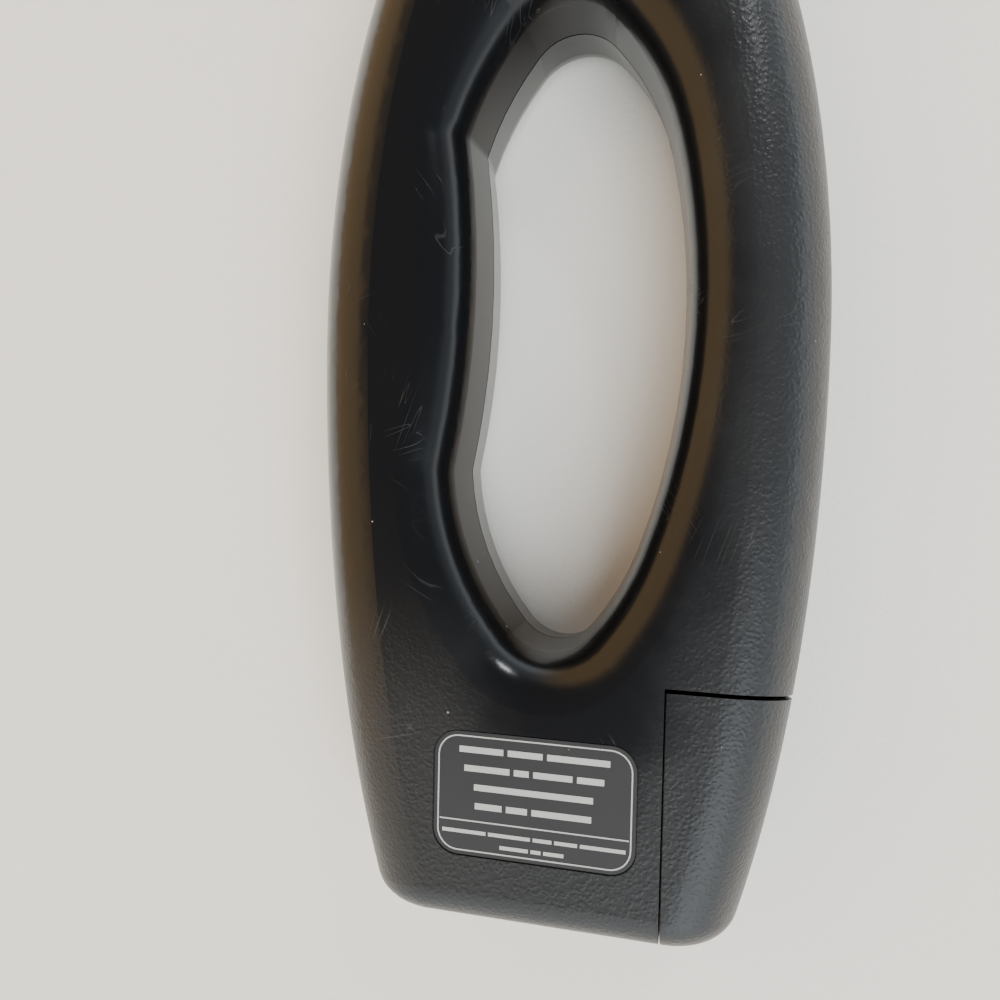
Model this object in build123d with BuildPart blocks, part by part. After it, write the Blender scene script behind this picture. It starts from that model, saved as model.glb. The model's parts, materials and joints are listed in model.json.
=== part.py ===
from build123d import *
import math
import os

# Hand-held wand detector: a hollow two-shell body with a finger opening in the grip end,
# a neck with the electronics and a paddle with the search coil.
# Frame: X across the wand, Y along it towards the paddle tip, Z up through its thickness.
# The wand lies on its front face, with the rear face up; the origin is under its middle.
# All lengths are in millimetres.

os.makedirs("parts", exist_ok=True)

# ---------------------------------------------------------------- driving dimensions
wand_length = 420.0
thickness = 31.5
wall = 2.4
edge_radius = 11.5
end_radius = 5.8

end_y = -wand_length / 2
tip_y = wand_length / 2
seam_z = thickness / 2

# outline of one side, from the grip end to the tip
grip_half_width = 41.6
grip_mid_y = end_y + 95.0
grip_low_reach = 133.4
grip_high_reach = 96.1
outline_run_out = 15.0
waist_start_y = -52.0
waist_radius = 80.0
flare_angle = 8.0
flare_length = 49.0
shoulder_radius = 150.0
tip_start_y = tip_y - 60.0
tip_thickness = 25.5

# finger opening at the seam, walked clockwise from the top of the bulge on its grip side:
# radius and turn in degrees of each arc, tangent to the one before, with a tight one in each valley
bulge_top = (-14.8, -82.2)
bulge_top_heading = 98.4
opening_arcs = [
    (1.6, 27.0), (50.8, 20.7), (8.6, 98.7), (42.1, 29.4), (116.9, 32.3),
    (46.0, 19.2), (7.5, 100.9), (44.0, 36.6), (4.2, 15.0),
]
opening_draft = 6.0
rim_radius = 8.4

# seam between the shells
seam_groove = 0.15
lip_height = 1.6
lip_inset = 1.25
lip_gap = 0.1

# battery door, a corner cap that slides off towards the grip end
door_x = 18.5
door_side_gap = 0.2
door_top_gap = 0.65
door_face_y = -168.6
door_seam_drop = 2.8
bulkhead = 1.8
rail_web = 1.2
rail_reach = 2.5
rail_hook = 0.8
rail_play = 0.3
rail_level = 10.0
rail_start_y = -200.0
rail_end_y = -174.0

# nine volt battery, lying across the grip end
battery_length = 46.4
battery_width = 26.5
battery_depth = 17.5
battery_right_x = 25.0
battery_mid_y = -191.6
terminal_pitch = 12.7
terminal_height = 2.1

# rear label
label_width = 32.2
label_height = 19.9
label_radius = 4.0
label_x = -1.3
label_mid_y = -188.0
label_recess = 0.35
label_stock = 0.22

# board and speaker
board_width = 43.0
board_length = 88.0
board_start_y = -4.0
board_z = 9.8
board_stock = 1.6
speaker_y = -28.0
speaker_radius = 18.0

# controls on the sides of the neck
slider_y = 10.0
slider_travel = 4.0
button_y = 36.0
button_radius = 3.1
button_travel = 1.0
jack_y = 10.0
jack_bore_radius = 1.8
jack_depth = 13.0

# search coil
coil_half_width = 26.0
coil_start_y = 98.0
coil_tip_reach = 50.0
coil_z = 8.0
paddle_corner_radius = 8.0

wire_radius = 0.7


def finish(piece, name):
    """Label a finished piece and write its STEP file."""
    piece.label = name
    export_step(piece, f"parts/{name}.step")


def box_between(low, high, rounding=0.0):
    """Box from its low corner to its high corner, its upright edges rounded if asked."""
    with BuildPart() as block:
        with BuildSketch(Plane.XY.offset(low[2])):
            with Locations(((low[0] + high[0]) / 2, (low[1] + high[1]) / 2)):
                if rounding:
                    RectangleRounded(high[0] - low[0], high[1] - low[1], rounding)
                else:
                    Rectangle(high[0] - low[0], high[1] - low[1])
        extrude(amount=high[2] - low[2])
    return block.part


def ellipse_angle(offset_y, reach):
    """Parametric angle in degrees at which an ellipse stands offset_y above its centre."""
    return math.degrees(math.asin(offset_y / reach))


# ---------------------------------------------------------------- wand body
def wand_outline(inset):
    """Plan view of the wand, run out past the grip end, shrunk by inset."""
    half_width = grip_half_width - inset
    low_reach = grip_low_reach - inset
    high_reach = grip_high_reach - inset
    low_start = ellipse_angle(end_y - outline_run_out - grip_mid_y, low_reach)
    high_end = ellipse_angle(waist_start_y - grip_mid_y, high_reach)
    middle = (0, grip_mid_y)
    with BuildSketch() as plan:
        with BuildLine():
            low = EllipticalCenterArc(
                middle, half_width, low_reach, start_angle=low_start, arc_size=-low_start
            )
            high = EllipticalCenterArc(middle, half_width, high_reach, start_angle=0, arc_size=high_end)
            lean = math.degrees(math.atan2(-(high % 1).X, (high % 1).Y))
            waist = JernArc(high @ 1, high % 1, waist_radius + inset, -(lean + flare_angle))
            flare = Line(waist @ 1, (waist @ 1) + (waist % 1) * flare_length)
            shoulder = JernArc(flare @ 1, flare % 1, shoulder_radius - inset, flare_angle)
            paddle = Line(shoulder @ 1, ((shoulder @ 1).X, tip_start_y))
            EllipticalCenterArc(
                (0, tip_start_y), (paddle @ 1).X, tip_y - tip_start_y - inset, start_angle=0, arc_size=90
            )
            mirror(about=Plane.YZ)
            Line(low @ 0, (-(low @ 0).X, (low @ 0).Y))
        make_face()
    return plan.sketch


def side_profile(inset):
    """Side view of the wand: flat under the whole length, falling slowly towards the tip above."""
    with BuildPart() as slab:
        with BuildSketch(Plane.YZ.offset(-60)):
            with BuildLine():
                flat = Line((end_y - 20, thickness - inset), (0, thickness - inset))
                fall = TangentArc((0, thickness - inset), (tip_y, tip_thickness - inset), tangent=(1, 0))
                Polyline(
                    flat @ 0, (end_y - 20, inset), (tip_y + 5, inset),
                    (tip_y + 5, (fall @ 1).Y - 0.3), fall @ 1,
                )
            make_face()
        extrude(amount=120)
    return slab.part


def opening_outline(outset):
    """Finger opening at the seam plane, grown by outset."""
    heading = math.radians(bulge_top_heading)
    tangent = Vector(math.cos(heading), math.sin(heading))
    first = Vector(*bulge_top) + Vector(-tangent.Y, tangent.X) * outset
    with BuildSketch() as plan:
        with BuildLine():
            start = first
            for radius, turn in opening_arcs:
                arc = JernArc(start, tangent, radius + outset, -turn)
                start = arc @ 1
                tangent = arc % 1
            TangentArc(start, first, tangent=tangent)
        make_face()
    return plan.sketch


def drafted_opening(outset, way):
    """Half of the finger opening's space, widening from the seam to beyond one face."""
    reach = thickness / 2 + 2
    widening = reach * math.tan(math.radians(opening_draft))
    with BuildPart() as space:
        with BuildSketch(Plane.XY.offset(seam_z)):
            add(opening_outline(outset))
        with BuildSketch(Plane.XY.offset(seam_z + way * reach)):
            add(opening_outline(outset + widening))
        loft(ruled=True)
    return space.part


def wand_solid(inset):
    """The whole rounded body with its finger opening, shrunk on every side by inset."""
    with BuildPart() as body:
        add(extrude(wand_outline(inset), amount=thickness))
        add(side_profile(inset), mode=Mode.INTERSECT)
        rims = body.edges().filter_by(lambda e: abs(e.center().X) > 5 and abs((e % 0.5).Z) < 0.5)
        fillet(rims, edge_radius - inset)
        split(bisect_by=Plane.XZ.offset(-end_y - inset), keep=Keep.BOTTOM)
        fillet(body.faces().sort_by(Axis.Y)[0].edges(), end_radius - inset)
        for way in (1, -1):
            add(drafted_opening(inset, way), mode=Mode.SUBTRACT)
        for level in (inset, thickness - inset):
            rim = body.edges().filter_by(
                lambda e: abs(e.center().Z - level) < 0.01
                and abs(e.center().X) < 24
                and -170 < e.center().Y < -50
            )
            fillet(rim, rim_radius - inset)
    return body.part


def door_space(side_gap, top_gap):
    """The door's corner: right of its long seam and below its top seam, which dips at the side."""
    with BuildPart() as space:
        with BuildSketch(Plane.YZ.offset(door_x + side_gap)):
            with BuildLine():
                edge_y = door_face_y - top_gap
                Polyline(
                    (end_y - 20, -5), (edge_y, -5), (edge_y, 0), (edge_y - door_seam_drop, seam_z),
                    (edge_y, thickness), (edge_y, thickness + 5), (end_y - 20, thickness + 5), close=True,
                )
            make_face()
        extrude(amount=40)
    return space.part


def flank_half_width(y):
    """Half width of the wand where its neck flares in a straight line towards the paddle."""
    turn = math.radians(ellipse_angle(waist_start_y - grip_mid_y, grip_high_reach))
    lean = math.atan2(grip_half_width * math.sin(turn), grip_high_reach * math.cos(turn))
    flare = math.radians(flare_angle)
    waist_x = grip_half_width * math.cos(turn) + waist_radius * (math.cos(lean) - math.cos(flare))
    waist_y = waist_start_y + waist_radius * (math.sin(lean) + math.sin(flare))
    return waist_x + (y - waist_y) * math.tan(flare)


def flank_plane(y, side, depth=0.0):
    """Plane on the neck's side wall at the seam, facing outwards, sunk in by depth."""
    flare = math.radians(flare_angle)
    outwards = Vector(side * math.cos(flare), -math.sin(flare), 0)
    along = Vector(side * math.sin(flare), math.cos(flare), 0)
    origin = Vector(side * flank_half_width(y), y, seam_z) - outwards * depth
    return Plane(origin=origin, x_dir=along, z_dir=outwards)


def paddle_shape(half_width, start_y, inset=0.0):
    """Flat outline that follows the paddle: straight sides and a half-elliptical tip."""
    reach = coil_tip_reach - inset
    half = half_width - inset
    low_y = start_y + inset
    with BuildSketch() as shape:
        with BuildLine():
            right = Line((half, low_y), (half, tip_start_y))
            EllipticalCenterArc((0, tip_start_y), half, reach, start_angle=0, arc_size=180)
            left = Line((-half, tip_start_y), (-half, low_y))
            Line(left @ 1, right @ 0)
        make_face()
        fillet(shape.vertices().group_by(Axis.Y)[0], paddle_corner_radius - inset)
    return shape.sketch


def lead(points):
    """Insulated wire along straight runs, each corner rounded as far as its runs allow."""
    path_points = [Vector(*point) for point in points]
    radii = []
    for before, corner, after in zip(path_points, path_points[1:], path_points[2:]):
        turn = (corner - before).get_angle(after - corner)
        shorter = min((corner - before).length, (after - corner).length)
        radii.append(min(0.45 * shorter / math.tan(math.radians(turn / 2)), 60))
    with BuildPart() as wire:
        with BuildLine():
            path = FilletPolyline(*path_points, radius=radii)
        with BuildSketch(Plane(origin=path @ 0, z_dir=path % 0)):
            Circle(wire_radius)
        sweep()
    return wire.part


outer = wand_solid(0)
cavity = wand_solid(wall)
lip_solid = wand_solid(lip_inset)
lip_room = wand_solid(lip_inset - lip_gap)
door_cut = door_space(0, 0)

# ---------------------------------------------------------------- features of both shells
screw_places = [(-27.4, -110.0), (30.7, -110.0), (-16.0, -172.0), (-19.8, -50.0), (19.8, -50.0)]
screw_radius = 1.5
screw_head_radius = 2.8
screw_head_z = 1.0
screw_head_height = 2.2
screw_end_z = 24.0
boss_radius = 3.6

board_screw_places = [(-18.0, 2.0), (18.0, 2.0), (-22.0, 80.0), (22.0, 80.0)]
board_screw_radius = 1.05
post_radius = 3.0

bezel_length = 19.8
bezel_height = 7.4
bezel_flange = 0.8
bezel_stand = 0.4
bezel_rounding = 1.5
button_bezel_radius = 3.9
collar_length = 16.8
collar_height = 6.2
collar_radius = 3.4
fit_gap = 0.1
jack_barrel_radius = 2.9

led_places = [("led_green", -8.0), ("led_amber", 0.0), ("led_red", 8.0)]
led_y = 22.0
led_radius = 2.4
window_length = 28.0
window_height = 7.4
window_stock = 1.1

front_label_width = 36.0
front_label_height = 20.0
front_label_y = 56.0
panel_recess = 0.5
panel_start_y = 88.0
panel_half_width = 26.5

with BuildPart() as bulkhead_wall:
    add(door_space(-bulkhead, -bulkhead))
    add(door_cut, mode=Mode.SUBTRACT)
    add(lip_solid, mode=Mode.INTERSECT)
    # window for the battery
    add(
        box_between(
            (door_x - 3, battery_mid_y - battery_width / 2 - 0.5, seam_z - battery_depth / 2 - 0.4),
            (door_x + 3, battery_mid_y + battery_width / 2 + 0.5, seam_z + battery_depth / 2 + 0.4),
        ),
        mode=Mode.SUBTRACT,
    )

# narrow slot that the seam shows on the outside
seam_slot = (outer - lip_room) & box_between(
    (-60, end_y - 5, seam_z - seam_groove), (60, tip_y + 5, seam_z + seam_groove)
)


def door_rail(way):
    """Hooked rail on the bulkhead, above (way 1) or below (way -1) the battery."""
    web_z = seam_z + way * rail_level
    hook_z = web_z + way * rail_web
    low_web, high_web = sorted((web_z, hook_z))
    low_hook, high_hook = sorted((hook_z, hook_z + way * rail_hook))
    with BuildPart() as rail:
        add(
            box_between(
                (door_x - 0.5, rail_start_y, low_web), (door_x + rail_reach, rail_end_y, high_web)
            )
        )
        add(
            box_between(
                (door_x + rail_reach - rail_hook, rail_start_y, low_hook),
                (door_x + rail_reach, rail_end_y, high_hook),
            )
        )
    return rail.part


def controls_cut():
    """Openings through the neck's side walls for the slider, the button and the jack."""
    with BuildPart() as cut:
        with BuildSketch(flank_plane(slider_y, -1, bezel_flange)):
            RectangleRounded(bezel_length + 2 * fit_gap, bezel_height + 2 * fit_gap, bezel_rounding + fit_gap)
        extrude(amount=2)
        with BuildSketch(flank_plane(slider_y, -1, wall + 3)):
            Rectangle(collar_length + 2 * fit_gap, collar_height + 2 * fit_gap)
        extrude(amount=wall + 4)
        with BuildSketch(flank_plane(button_y, -1, bezel_flange)):
            Circle(button_bezel_radius + fit_gap)
        extrude(amount=2)
        with BuildSketch(flank_plane(button_y, -1, wall + 3)):
            Circle(collar_radius + fit_gap)
        extrude(amount=wall + 4)
        with BuildSketch(flank_plane(jack_y, 1, wall + 1)):
            Circle(jack_barrel_radius + fit_gap)
        extrude(amount=wall + 3)
    return cut.part


def panel_cut(way):
    """Shallow panel on one face of the paddle, an even depth below that face."""
    with BuildPart() as cut:
        with BuildSketch(Plane.XY.offset(seam_z)):
            add(paddle_shape(panel_half_width, panel_start_y))
        extrude(amount=way * (thickness / 2 + 3))
        add(side_profile(panel_recess), mode=Mode.SUBTRACT)
    return cut.part


def half_shell(way):
    """One shell, rear (way 1) or front (way -1), before its own features."""
    kept = Keep.TOP if way == 1 else Keep.BOTTOM
    face_z = seam_z + way * (thickness / 2 - 1.2)
    with BuildPart() as shell:
        add(outer)
        split(bisect_by=Plane.XY.offset(seam_z), keep=kept)
        add(seam_slot, mode=Mode.SUBTRACT)
        add(cavity, mode=Mode.SUBTRACT)
        add(split(bulkhead_wall.part, bisect_by=Plane.XY.offset(seam_z), keep=kept, mode=Mode.PRIVATE))
        add(door_rail(way))
        with BuildSketch(Plane.XY.offset(seam_z)):
            with Locations(*screw_places):
                Circle(boss_radius)
        extrude(amount=face_z - seam_z)
        add(door_cut - door_rail(way), mode=Mode.SUBTRACT)
        add(panel_cut(way), mode=Mode.SUBTRACT)
        add(controls_cut(), mode=Mode.SUBTRACT)
    return shell.part


# ---------------------------------------------------------------- shells and door
with BuildPart() as rear_shell:
    add(half_shell(1))
    # pilot holes for the case screws
    with BuildSketch(Plane.XY.offset(seam_z - 1)):
        with Locations(*screw_places):
            Circle(screw_radius + 0.02)
    extrude(amount=screw_end_z + 1 - seam_z + 1, mode=Mode.SUBTRACT)
    # label recess
    with BuildSketch(Plane.XY.offset(thickness - label_recess)):
        with Locations((label_x, label_mid_y)):
            RectangleRounded(label_width + 0.4, label_height + 0.4, label_radius + 0.2)
    extrude(amount=1, mode=Mode.SUBTRACT)
    # rebate for the front shell's lip
    lip_band = lip_room - cavity
    lip_slab = box_between((-60, end_y - 5, seam_z - 1), (60, tip_y + 5, seam_z + lip_height + lip_gap))
    add(lip_band & lip_slab, mode=Mode.SUBTRACT)
finish(rear_shell.part, "rear_shell")

with BuildPart() as front_shell:
    add(half_shell(-1))
    # lip that stands up inside the rear shell
    lip_ring = (lip_solid - cavity) & box_between(
        (-60, end_y - 5, seam_z - 1), (60, tip_y + 5, seam_z + lip_height)
    )
    add(lip_ring - door_space(-bulkhead - 0.1, -bulkhead - 0.1) - controls_cut())
    # clearance holes and head recesses for the case screws
    with BuildSketch(Plane.XY):
        with Locations(*screw_places):
            Circle(screw_radius + 0.2)
    extrude(amount=seam_z + 3, mode=Mode.SUBTRACT)
    with BuildSketch(Plane.XY):
        with Locations(*screw_places):
            Circle(screw_head_radius + 0.2)
    extrude(amount=screw_head_z + screw_head_height, mode=Mode.SUBTRACT)
    # board posts
    with BuildSketch(Plane.XY.offset(wall - 0.5)):
        with Locations(*board_screw_places):
            Circle(post_radius)
    extrude(amount=board_z - wall + 0.5)
    with BuildSketch(Plane.XY.offset(wall + 1)):
        with Locations(*board_screw_places):
            Circle(board_screw_radius + 0.02)
    extrude(amount=board_z, mode=Mode.SUBTRACT)
    # posts under the coil former and ribs across the paddle
    with BuildSketch(Plane.XY.offset(wall - 0.5)):
        with Locations((-23.5, 112), (23.5, 112), (-23.5, 145), (23.5, 145), (-12, 190.5), (12, 190.5)):
            Circle(2.3)
    extrude(amount=coil_z - 2 - wall + 0.5)
    with BuildSketch(Plane.XY.offset(wall - 0.5)):
        with Locations((0, 125), (0, 160)):
            Rectangle(40, 1.5)
    extrude(amount=3.5)
    # speaker grille slots
    with BuildSketch(Plane.XY.offset(-1)):
        for row in range(-3, 4):
            with Locations((0, speaker_y + row * 4.0)):
                SlotOverall(2 * math.sqrt(14.0**2 - (row * 4.0) ** 2), 1.6)
    extrude(amount=wall + 2, mode=Mode.SUBTRACT)
    # window for the indicator lights, with a ledge for its lens
    with BuildSketch(Plane.XY.offset(-1)):
        with Locations((0, led_y)):
            SlotOverall(window_length, window_height)
    extrude(amount=window_stock + 1.15, mode=Mode.SUBTRACT)
    with BuildSketch(Plane.XY):
        with Locations((0, led_y)):
            SlotOverall(window_length - 2.4, window_height - 2.0)
    extrude(amount=wall + 1, mode=Mode.SUBTRACT)
    # label recess
    with BuildSketch(Plane.XY.offset(-1)):
        with Locations((0, front_label_y)):
            RectangleRounded(front_label_width + 0.4, front_label_height + 0.4, 3.2)
    extrude(amount=1 + label_recess, mode=Mode.SUBTRACT)
finish(front_shell.part, "front_shell")

with BuildPart() as battery_door:
    add(outer)
    add(cavity, mode=Mode.SUBTRACT)
    add(door_space(door_side_gap, door_top_gap), mode=Mode.INTERSECT)
    # counter hooks behind the rails
    for way in (1, -1):
        hook_low_z = seam_z + way * (rail_level + rail_web + rail_play)
        hook_high_z = seam_z + way * (thickness / 2 - wall + 0.4)
        low_z, high_z = sorted((hook_low_z, hook_high_z))
        add(
            box_between(
                (door_x + door_side_gap, rail_start_y, low_z),
                (door_x + rail_reach - rail_hook - rail_play, rail_end_y, high_z),
            )
        )
    chamfer(battery_door.faces().sort_by(Axis.X)[0].outer_wire().edges(), 0.15)
finish(battery_door.part, "battery_door")

# ---------------------------------------------------------------- case screws
with BuildPart() as case_screws:
    with Locations(*[(x, y, screw_head_z) for x, y in screw_places]):
        Cylinder(screw_head_radius, screw_head_height, align=(Align.CENTER, Align.CENTER, Align.MIN))
        Cylinder(screw_radius, screw_end_z - screw_head_z, align=(Align.CENTER, Align.CENTER, Align.MIN))
        Box(3.2, 0.7, 2.2, mode=Mode.SUBTRACT)
        Box(0.7, 3.2, 2.2, mode=Mode.SUBTRACT)
finish(case_screws.part, "case_screws")

# ---------------------------------------------------------------- battery and its bay
battery_left_x = battery_right_x - battery_length
battery_low_y = battery_mid_y - battery_width / 2
battery_high_y = battery_mid_y + battery_width / 2
battery_low_z = seam_z - battery_depth / 2
end_plate_stock = 1.2
terminal_low_y = battery_mid_y - terminal_pitch / 2
terminal_high_y = battery_mid_y + terminal_pitch / 2
terminal_plane = Plane.YZ.offset(battery_left_x)

with BuildPart() as battery_can:
    with BuildSketch(Plane.YZ.offset(battery_left_x + end_plate_stock)):
        with Locations((battery_mid_y, seam_z)):
            RectangleRounded(battery_width, battery_depth, 2.5)
    extrude(amount=battery_length - end_plate_stock)
finish(battery_can.part, "battery_can")

with BuildPart() as battery_end_plate:
    with BuildSketch(terminal_plane):
        with Locations((battery_mid_y, seam_z)):
            RectangleRounded(battery_width - 0.6, battery_depth - 0.6, 2.2)
    extrude(amount=end_plate_stock)
finish(battery_end_plate.part, "battery_end_plate")

with BuildPart() as battery_positive_stud:
    with BuildSketch(terminal_plane):
        with Locations((terminal_high_y, seam_z)):
            Circle(2.9)
    extrude(amount=-terminal_height)
finish(battery_positive_stud.part, "battery_positive_stud")

with BuildPart() as battery_negative_socket:
    with BuildSketch(terminal_plane):
        with Locations((terminal_low_y, seam_z)):
            RegularPolygon(4.4, 6)
            Circle(3.1, mode=Mode.SUBTRACT)
    extrude(amount=-terminal_height)
finish(battery_negative_socket.part, "battery_negative_socket")

clip_x = battery_left_x - terminal_height - 0.4
clip_stock = 2.5
clip_length = 22.0
clip_height = 12.6
with BuildPart() as snap_clip:
    with BuildSketch(Plane.YZ.offset(clip_x)):
        with Locations((battery_mid_y, seam_z)):
            RectangleRounded(clip_length, clip_height, 2)
    extrude(amount=-clip_stock)
finish(snap_clip.part, "snap_clip")

with BuildPart() as snap_contacts:
    with BuildSketch(Plane.YZ.offset(clip_x)):
        with Locations((terminal_high_y, seam_z)):
            Circle(3.7)
            Circle(3.05, mode=Mode.SUBTRACT)
        with Locations((terminal_low_y, seam_z)):
            Circle(2.8)
    extrude(amount=terminal_height)
finish(snap_contacts.part, "snap_contacts")

tray_floor_z = wall + 0.1
tray_floor = 1.9
tray_wall = 1.2
tray_step = 1.0
with BuildPart() as battery_tray:
    add(
        box_between((-18, battery_low_y, tray_floor_z), (16.0, battery_high_y, tray_floor_z + tray_floor))
    )
    for low_y in (battery_low_y - 0.2 - tray_wall, battery_high_y + 0.2):
        add(box_between((-18, low_y, tray_floor_z + tray_step), (16.0, low_y + tray_wall, seam_z - 2)))
    add(
        box_between(
            (-18, battery_low_y - 0.2 - tray_wall, tray_floor_z + tray_step),
            (16.0, battery_high_y + 0.2 + tray_wall, tray_floor_z + tray_floor),
        )
    )
finish(battery_tray.part, "battery_tray")

with BuildPart() as battery_foam:
    add(
        box_between(
            (-15, battery_low_y + 2, tray_floor_z + tray_floor),
            (13, battery_high_y - 2, battery_low_z - 0.05),
            2,
        )
    )
finish(battery_foam.part, "battery_foam")

lead_z = 13.0
lead_route = [
    (-25.0, battery_mid_y + clip_length / 2 + 0.1), (-25.4, -172), (-32.6, -152), (-35.4, -130), (-35.4, -93),
    (-32.2, -71), (-27.5, -53), (-20.9, -29), (-20.2, -15), (-13.4, -6), (-13.4, -0.5),
]
lead_spacing = 2.0
for name, shift in (("battery_lead_red", 0.0), ("battery_lead_black", lead_spacing)):
    route = [(x + shift * (1 if y > -10 or y < -175 else 0.8), y, lead_z) for x, y in lead_route]
    finish(lead(route), name)

# ---------------------------------------------------------------- main board
board_end_y = board_start_y + board_length
board_top = board_z + board_stock
board_edge_gap = 6.5
with BuildPart() as main_board:
    with BuildSketch(Plane.XY.offset(board_z)):
        with BuildLine():
            near = flank_half_width(board_start_y) - board_edge_gap
            far = flank_half_width(40) - board_edge_gap
            Polyline(
                (-near, board_start_y), (near, board_start_y), (far, 40), (far, board_end_y),
                (-far, board_end_y), (-far, 40), close=True,
            )
        make_face()
        with Locations(*board_screw_places):
            Circle(1.3, mode=Mode.SUBTRACT)
    extrude(amount=board_stock)
finish(main_board.part, "main_board")

with BuildPart() as board_screws:
    with Locations(*[(x, y, board_top) for x, y in board_screw_places]):
        Cylinder(2.2, 1.4, align=(Align.CENTER, Align.CENTER, Align.MIN))
        Cylinder(board_screw_radius, 6.5, align=(Align.CENTER, Align.CENTER, Align.MAX))
        Cylinder(board_screw_radius, 1, align=(Align.CENTER, Align.CENTER, Align.MIN))
finish(board_screws.part, "board_screws")


def board_blocks(blocks, rounding=0.0):
    """Rectangular components standing on the board: centre x, centre y, length, width, height."""
    with BuildPart() as group:
        for x, y, length, width, height in blocks:
            add(
                box_between(
                    (x - length / 2, y - width / 2, board_top),
                    (x + length / 2, y + width / 2, board_top + height),
                    rounding,
                )
            )
    return group.part


finish(
    board_blocks(
        [(2, 44, 10, 10, 1.6), (-12, 57, 5, 6.5, 1.7), (13, 60, 5, 6.5, 1.7), (-14, 30, 4, 5, 1.5)]
    ),
    "board_chips",
)
finish(board_blocks([(13, 32, 9, 9, 6)], 1.5), "board_transformer")
finish(board_blocks([(0, 72, 7, 4.8, 4)], 0.5), "sensitivity_trimmer")
finish(board_blocks([(-12.4, 2.5, 6, 6, 5.4)], 0.4), "battery_connector")
finish(board_blocks([(11, 80, 7, 6, 4.4)], 0.4), "coil_connector")

with BuildPart() as board_capacitors:
    with Locations((-2, 8, board_top), (5.5, 8, board_top), (-12, 44, board_top), (4, 58, board_top)):
        Cylinder(3.1, 8, align=(Align.CENTER, Align.CENTER, Align.MIN))
    fillet(board_capacitors.edges().group_by(Axis.Z)[-1], 0.5)
finish(board_capacitors.part, "board_capacitors")

# ---------------------------------------------------------------- indicator lights
for name, x in led_places:
    with BuildPart() as led:
        with BuildSketch(Plane.XY.offset(board_z)):
            with Locations((x, led_y)):
                Circle(led_radius + 0.4)
        extrude(amount=-1)
        with BuildSketch(Plane.XY.offset(board_z)):
            with Locations((x, led_y)):
                Circle(led_radius)
        extrude(amount=-(board_z - 1.7))
        fillet(led.edges().group_by(Axis.Z)[0], led_radius - 0.2)
    finish(led.part, name)

with BuildPart() as led_window:
    with BuildSketch(Plane.XY.offset(0.05)):
        with Locations((0, led_y)):
            SlotOverall(window_length - 0.2, window_height - 0.2)
    extrude(amount=window_stock)
finish(led_window.part, "led_window")

# ---------------------------------------------------------------- speaker
speaker_low_z = 3.6
with BuildPart() as speaker_gasket:
    with BuildSketch(Plane.XY.offset(wall)):
        with Locations((0, speaker_y)):
            Circle(15.2)
            Circle(14.1, mode=Mode.SUBTRACT)
    extrude(amount=speaker_low_z - wall)
finish(speaker_gasket.part, "speaker_gasket")

with BuildPart() as speaker_basket:
    with BuildSketch(Plane.XZ.offset(-speaker_y)):
        with BuildLine():
            Polyline(
                (speaker_radius, speaker_low_z), (speaker_radius, 6.2), (11.5, 9.4), (9.6, 9.4), (9.6, 8.4),
                (11.0, 8.4), (16.4, 5.4), (16.4, speaker_low_z), close=True,
            )
        make_face()
    revolve(axis=Axis((0, speaker_y, 0), (0, 0, 1)))
finish(speaker_basket.part, "speaker_basket")

with BuildPart() as speaker_magnet:
    with BuildSketch(Plane.XY.offset(9.4)):
        with Locations((0, speaker_y)):
            Circle(10.5)
    extrude(amount=4.6)
    chamfer(speaker_magnet.edges().group_by(Axis.Z)[-1], 0.5)
finish(speaker_magnet.part, "speaker_magnet")

with BuildPart() as speaker_cone:
    with BuildSketch(Plane.XZ.offset(-speaker_y)):
        with BuildLine():
            Polyline(
                (0, 6.4), (4.5, 6.9), (15.6, 4.0), (16.3, 4.0), (16.3, 4.5), (15.8, 4.5), (4.6, 7.5),
                (0, 7.0), close=True,
            )
        make_face()
    revolve(axis=Axis((0, speaker_y, 0), (0, 0, 1)))
finish(speaker_cone.part, "speaker_cone")

speaker_lead_z = 12.3
for name, x in (("speaker_lead_red", 3.5), ("speaker_lead_black", 6.5)):
    start_y = speaker_y + math.sqrt(10.5**2 - (x - wire_radius) ** 2) + 0.3
    finish(lead([(x, start_y, speaker_lead_z), (x, -9, speaker_lead_z), (x + 1, 2.5, speaker_lead_z)]), name)

# ---------------------------------------------------------------- controls on the neck
slider_plane = flank_plane(slider_y, -1)
slider_rest = -slider_travel / 2
knob_length = 5.2
knob_height = 4.0
window_play = 0.3
with BuildPart() as switch_bezel:
    with BuildSketch(slider_plane.offset(-bezel_flange)):
        RectangleRounded(bezel_length, bezel_height, bezel_rounding)
    extrude(amount=bezel_flange + bezel_stand)
    chamfer(switch_bezel.faces().sort_by(Axis(slider_plane.origin, slider_plane.z_dir))[-1].edges(), 0.25)
    with BuildSketch(slider_plane.offset(-wall - 0.2)):
        Rectangle(collar_length, collar_height)
    extrude(amount=wall + 0.2 - bezel_flange)
    with BuildSketch(slider_plane.offset(-wall - 1)):
        Rectangle(knob_length + slider_travel + 2 * window_play, knob_height + 2 * window_play)
    extrude(amount=wall + 4, mode=Mode.SUBTRACT)
finish(switch_bezel.part, "switch_bezel")

with BuildPart() as power_slider:
    with BuildSketch(slider_plane.offset(-1.8)):
        with Locations((slider_rest, 0)):
            RectangleRounded(knob_length, knob_height, 0.6)
    extrude(amount=3.4)
    # grip grooves across the knob
    with BuildSketch(slider_plane.offset(1.2)):
        with Locations(*[(slider_rest + step * 1.2, 0) for step in (-1, 0, 1)]):
            Rectangle(0.5, knob_height + 1)
    extrude(amount=1, mode=Mode.SUBTRACT)
    with BuildSketch(slider_plane.offset(-4.6)):
        with Locations((slider_rest, 0)):
            Rectangle(1.6, 1.6)
    extrude(amount=2.8)
finish(power_slider.part, "power_slider")

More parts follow.
